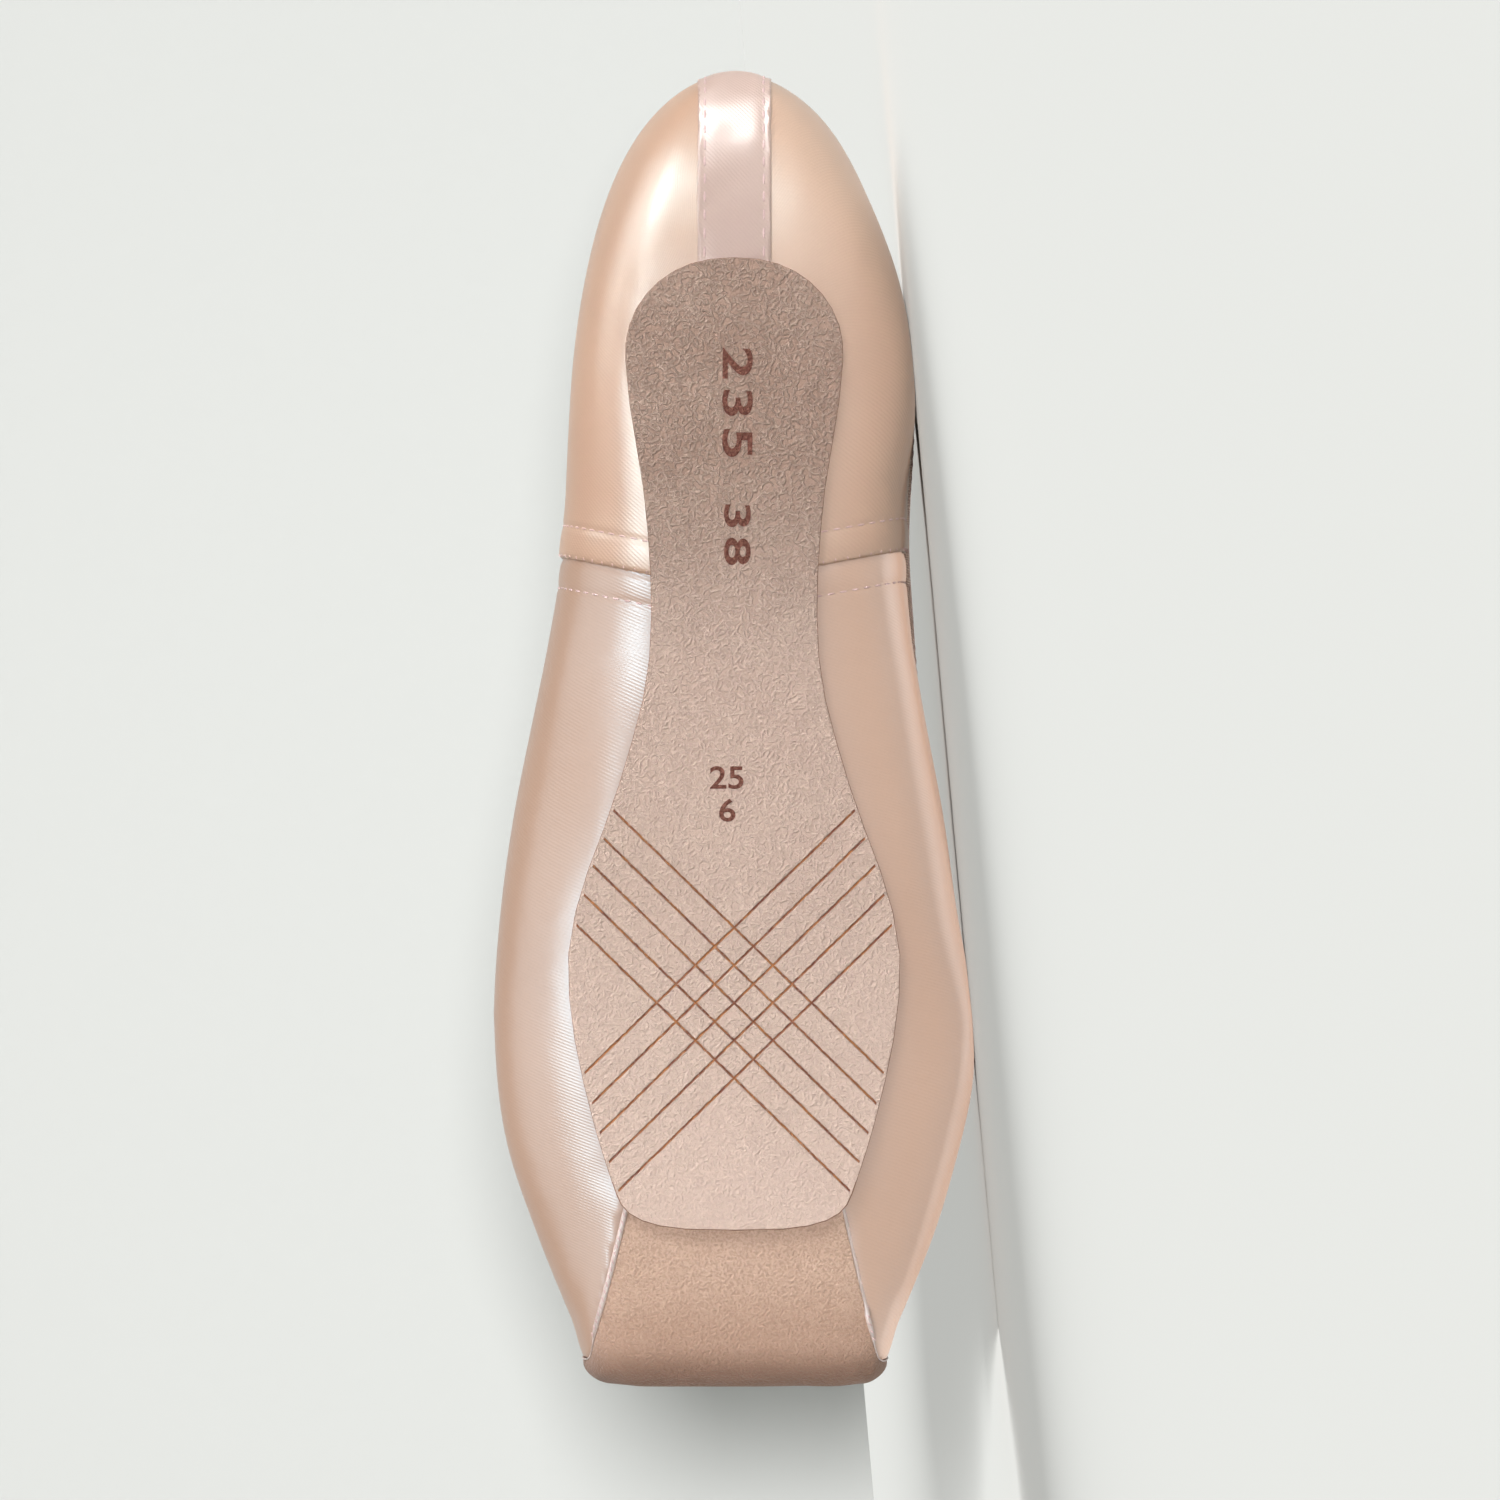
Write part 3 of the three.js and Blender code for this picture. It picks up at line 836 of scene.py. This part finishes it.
# The dark edge goes on the bevel round the outsole as painted shade, drawn wider at the front to stand
# for the shadow beneath the outsole's front edge.
at_front = face_centres(outsole)[:, 0] > SOLE_TOE - 8
surfaces[face_normals(outsole)[:, 2] > np.where(at_front, -0.98, -0.92)] = 2
outsole.data.polygons.foreach_set("material_index", surfaces)
insole = copy_of("insole", "insole_sock")
apply(insole, "BEVEL", width=0.5 * MM, segments=3, limit_method="ANGLE", angle_limit=math.radians(40))
paint(insole, LINING)

# ---- Suede tip, and the satin's rolled edge beside it
subdivide_smoothly(toe_suede, 2)


def squarer_platform(points):
    """The suede is drawn in over the flat of the platform and fills out its side corners."""
    ahead, aside, _ = normals_of(toe_suede).T
    corner = ridge(ahead, 0.68, 0.22) * smoothstep(0.35, 0.6, np.abs(aside))
    return 0.6 * corner - 0.8 * smoothstep(0.85, 0.99, ahead)


mould(toe_suede, squarer_platform)
paint(toe_suede, tip_suede())
EDGING_RADIUS = 0.5
edge_line = []
for place, _ in along(tip_edge, 1.0):
    if place[0] > (SOLE_TOE - 3) * MM:
        ground, normal, _, _ = patch_surface.find_nearest(Vector(place))
        sunk = 0.32 * smoothstep(233, 238, ground.x / MM) - 0.12
        edge_line.append(ground - normal * (sunk * MM))
gap = max(range(len(edge_line)), key=lambda i: (edge_line[i] - edge_line[i - 1]).length)
edge_line = edge_line[gap:] + edge_line[:gap]  # it starts and ends beneath the outsole
for end, after in ((0, 1), (-1, -2)):
    tail = edge_line[end] + (edge_line[end] - edge_line[after]).normalized() * 4 * MM
    edge_line.insert(0 if end == 0 else len(edge_line), tail)
rolled = bpy.data.curves.new("tip_edging", "CURVE")
rolled.dimensions = "3D"
rolled.bevel_depth = EDGING_RADIUS * MM
rolled.bevel_resolution = 3
rolled.use_fill_caps = True
spline = rolled.splines.new("POLY")
spline.points.add(len(edge_line) - 1)
for point, place in zip(spline.points, edge_line):
    point.co = (*place, 1)
    point.radius = 1 - 0.75 * smoothstep(233, 238, place[0] / MM)
tip_edging = bpy.data.objects.new("tip_edging", rolled)
scene.collection.objects.link(tip_edging)
only(tip_edging)
bpy.ops.object.convert(target="MESH")
tip_edging = bpy.context.object
map_weave(
    tip_edging,
    lambda points, side: np.stack([points[:, 0] + np.abs(points[:, 1]), points[:, 2]], 1),
)
paint(tip_edging, SATIN_EDGING)


# ---- Stitching
def seam_path(side, offset, surface):
    """Where a slanting plane beside a side seam meets the satin, from the sole to the collar."""
    seam = SEAMS[side]
    start = Vector((seam["at"] + offset * math.hypot(1, seam["slope"]), 0, 26)) * MM
    path = []
    for degrees in np.linspace(-60, 9, 70):
        turn = math.radians(degrees)
        way = Vector((-seam["slope"] * math.cos(turn), side * math.cos(turn), math.sin(turn)))
        hit = surface.ray_cast(start, way)[0]
        if hit:
            path.append(hit)
    return path


def tape_path(y):
    path = []
    for degrees in np.linspace(4, 100, 60):
        turn = math.radians(degrees)
        way = Vector((-math.sin(turn), 0, -math.cos(turn)))
        hit = satin_surfaces["heel_tape"].ray_cast(Vector((40, y, 38)) * MM, way)[0]
        if hit:
            path.append(hit)
    return path


def collar_path(height):
    """Round the collar tape, at a height above its lower edge."""
    path = []
    for place, ahead in along(collar_rim, 1.0):
        _, normal, _, _ = smooth_skin.find_nearest(Vector(place))
        rise = normal.cross(Vector(ahead)).normalized()
        if rise.dot(Vector((85, 0, 60)) * MM - Vector(place)) < 0:
            rise = -rise
        path.append(Vector(place) + (rise * height + normal * 2) * MM)
    return path


quarters_surface, vamp_surface = satin_surfaces["quarters"], satin_surfaces["vamp"]
seam_rows, fold_rows = [], []
for side in (1, -1):
    at_quarter = seam_path(side, QUARTER_STITCH, quarters_surface)
    at_vamp = seam_path(side, VAMP_STITCH, vamp_surface)
    at_fold = seam_path(side, -0.45, quarters_surface)
    seam_rows.append((quarters_surface, along(at_quarter, 2.3)))
    seam_rows.append((vamp_surface, along(at_vamp, 2.3)))
    fold_rows.append((quarters_surface, along(at_fold, 2.3)))
tape_rows = [
    (satin_surfaces["heel_tape"], along(tape_path(side * TAPE_STITCH), 3.5)) for side in (1, -1)
]
collar_rows = [(surface_of(collar_tape), along(collar_path(1.5), 2.3))]
tip_rows = [(patch_surface, [step for step in along(edge_line, 1.5) if step[0][0] < 236 * MM])]
seam_stitching = stitches("seam_stitching", seam_rows, 1.55, 0.4)
fold_stitching = stitches("fold_stitching", fold_rows, 0.8, 0.3, turn=90)
tape_stitching = stitches("tape_stitching", tape_rows, 2.4, 0.5)
collar_stitching = stitches("collar_stitching", collar_rows, 1.4, 0.35)
tip_stitching = stitches("tip_stitching", tip_rows, 1.1, 0.34, sink=-0.6, turn=35)
for piece in (seam_stitching, fold_stitching, tape_stitching, collar_stitching, tip_stitching):
    paint(piece, THREAD)

# ---- Marks
only(camera)


def burnt_text(name, words, height, at, reading, top, wide=1.0, spacing=1.0):
    """Plain numerals on the outsole. `reading` and `top` are their directions on it."""
    bpy.ops.object.text_add()
    mark = bpy.context.object
    mark.name = "mark_" + name
    mark.data.body = words
    mark.data.size = height / 0.73 * MM
    mark.data.offset = 0.02 * height * MM
    mark.data.space_character = spacing
    mark.data.extrude = 0.02 * MM
    mark.data.align_x = "CENTER"
    mark.data.align_y = "CENTER"
    bpy.ops.object.convert(target="MESH")
    mark = bpy.context.object
    reading, top = Vector(reading), Vector(top)
    turned = Matrix((reading * wide, top, reading.cross(top))).transposed().to_4x4()
    turned.translation = Vector(at) * MM
    mark.data.transform(turned)
    for vertex in mark.data.vertices:
        start = Vector((vertex.co.x, vertex.co.y, -20 * MM))
        hit = sole_surface.ray_cast(start, Vector((0, 0, 1)))[0]
        vertex.co.z += hit.z - 0.05 * MM
    paint(mark, BURNT)
    return mark


sole_surface = surface_of(outsole)
BURNT = burnt_mark()
TOEWARD, HEELWARD, RIGHTWARD = (1, 0, 0), (-1, 0, 0), (0, -1, 0)
marks = [
    burnt_text("length", "235", 5.6, (63.7, -0.3, 0), TOEWARD, RIGHTWARD, wide=1.6, spacing=1.2),
    burnt_text("size", "38", 4.9, (87.6, -0.3, 0), TOEWARD, RIGHTWARD, wide=1.6, spacing=1.2),
    burnt_text("width", "25", 4.2, (132.6, 1.3, 0), RIGHTWARD, HEELWARD, wide=1.15),
    burnt_text("grade", "6", 4.2, (138.6, 1.3, 0), RIGHTWARD, HEELWARD, wide=1.15),
]


# ---- Everything is carried to where the shoe lies
PIECES = [
    (vamp, "satin", "upper"),
    (quarter_left, "satin", None),
    (quarter_right, "satin", None),
    (heel_tape, "satin", None),
    (inside, "lining", None),
    (collar_tape, "tape", "collar_binding"),
    (outsole, "sole_leather", "outsole"),
    (insole, "lining", "insole"),
    (toe_suede, "toe_suede", "toe_patch"),
    (tip_edging, "satin", None),
    (seam_stitching, "tape", None),
    (fold_stitching, "tape", None),
    (tape_stitching, "tape", None),
    (collar_stitching, "tape", None),
    (tip_stitching, "tape", None),
    *((mark, "sole_leather", None) for mark in marks),
]
for scratch in (skin, patch_outer):
    bpy.data.objects.remove(scratch)
for piece, slot, node in PIECES:
    only(piece)
    bpy.ops.object.shade_smooth()
    if piece in (outsole, insole):
        bpy.ops.object.shade_smooth_by_angle(angle=math.radians(35))
    piece.data.transform(LYING)
    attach(piece, "root")
    if node:
        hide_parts(node)

# ---- Floor, backdrop and lights
def sheet_of_stage(name, size, place, turn, tone):
    only(camera)
    bpy.ops.mesh.primitive_plane_add(size=size)
    sheet = bpy.context.object
    sheet.name = name
    sheet.data.transform(Matrix.Translation(place) @ Matrix.Rotation(math.radians(turn), 4, "X"))
    finish = Finish(name, Specular_IOR_Level=0.0, Roughness=1.0)
    finish.vary("Base Color", shade(*tone))
    paint(sheet, finish.material)
    return sheet


def group(name, members):
    made = bpy.data.collections.new(name)
    for member in members:
        made.objects.link(member)
    return made


def sun(name, strength, angle, toward, receivers, blockers):
    """A soft light from a direction, which lights only its receivers."""
    light = bpy.data.lights.new(name, "SUN")
    light.energy = strength
    light.angle = math.radians(angle)
    lamp = bpy.data.objects.new(name, light)
    scene.collection.objects.link(lamp)
    lamp.matrix_world = Vector(toward).to_track_quat("Z", "Y").to_matrix().to_4x4()
    lamp.light_linking.receiver_collection = receivers
    lamp.light_linking.blocker_collection = blockers
    return light


def off_axis(degrees, toward):
    """A direction so many degrees from straight below the sole, leaning another way."""
    turn = math.radians(degrees)
    lean = Vector(toward).normalized()
    return LYING.to_3x3() @ (Vector((0, 0, -1)) * math.cos(turn) + lean * math.sin(turn))


floor = sheet_of_stage("floor", 40, (0, 0, 0), 0, (188, 189, 186.5))
backdrop = sheet_of_stage("backdrop", 40, (0, 3, 10), 90, (178, 179, 177))
backdrop.visible_diffuse = False  # so that the floor before it is evenly pale
shoe_alone = group("shoe_alone", [piece for piece, _, _ in PIECES])
upper_alone = group("upper_alone", [piece for piece, _, _ in PIECES if piece is not outsole])
floor_alone = group("floor_alone", [floor])
# A flag stands in the gap between the floor and the lifted toe, so that no light leaks through.
only(camera)
bpy.ops.mesh.primitive_cube_add(size=MM)
flag = bpy.context.object
flag.name = "flag"
flag.data.transform(Matrix.Translation((-0.03, -0.007, 0.006)) @ Matrix.Diagonal((170, 2, 12, 1)))
flag.visible_camera = flag.visible_diffuse = flag.visible_glossy = False
shoe_and_flag = group("shoe_and_flag", [flag, *(piece for piece, _, _ in PIECES)])
backdrop_alone = group("backdrop_alone", [backdrop])
all_but_vamp = group("all_but_vamp", [piece for piece, _, _ in PIECES if piece is not vamp])
all_but_tape = group("all_but_tape", [piece for piece, _, _ in PIECES if piece is not heel_tape])
back_of_shoe = group(
    "back_of_shoe", [piece for piece, _, _ in PIECES if piece not in (vamp, heel_tape)]
)
vamp_only = group("vamp_only", [vamp])
tape_only = group("tape_only", [heel_tape])
sun("key", 0.84, 18, off_axis(29, (0.06, 1, 0)), shoe_alone, upper_alone)
sun("key_by_heel", 0.9, 24, off_axis(44, (-1, 0.75, 0)), back_of_shoe, upper_alone)
sun("heel_light", 0.7, 20, off_axis(49, (-1, 0.5, 0)), all_but_tape, shoe_alone)
sun("tape_light", 1.7, 26, off_axis(75, (-1, 0.2, 0)), tape_only, shoe_alone)
rim = sun("heel_rim", 0.8, 40, off_axis(80, (-0.6, 1, 0)), all_but_vamp, shoe_alone)
sun("side_rim", 0.5, 60, off_axis(82, (0.05, 1, 0)), vamp_only, shoe_alone)
fill = sun("fill", 2.9, 80, off_axis(86, (-0.15, -1, 0)), shoe_alone, shoe_alone)
rim.cycles.max_bounces = fill.cycles.max_bounces = 0  # no glow from the shoe on the floor
sun("soft_front", 0.42, 170, off_axis(0, (1, 0, 0)), shoe_alone, shoe_alone)
sun("soft_on_vamp", 0.68, 170, off_axis(25, (0.2, -1, 0)), vamp_only, upper_alone)
sun("floor_from_behind", 11.4, 30, (0.5, 1, 0.2), floor_alone, shoe_and_flag)
sun("floor_from_before", 54.5, 10, (0.2, -1, 0.03), floor_alone, shoe_and_flag)
flash = bpy.data.lights.new("backdrop_flash", "POINT")
flash.energy = 895
flash.shadow_soft_size = 26 * MM
lamp = bpy.data.objects.new("backdrop_flash", flash)
scene.collection.objects.link(lamp)
lamp.location = camera.location + LYING.to_3x3() @ Vector((-20, 12, 0)) * MM
lamp.visible_camera = False
lamp.light_linking.receiver_collection = backdrop_alone
lamp.light_linking.blocker_collection = shoe_alone

world = bpy.data.worlds.new("studio")
world.use_nodes = True
sky = world.node_tree.nodes["Background"]
sky.inputs["Color"].default_value = (1.0, 1.005, 0.96, 1)
sky.inputs["Strength"].default_value = 0.34
scene.world = world

bpy.context.view_layer.update()
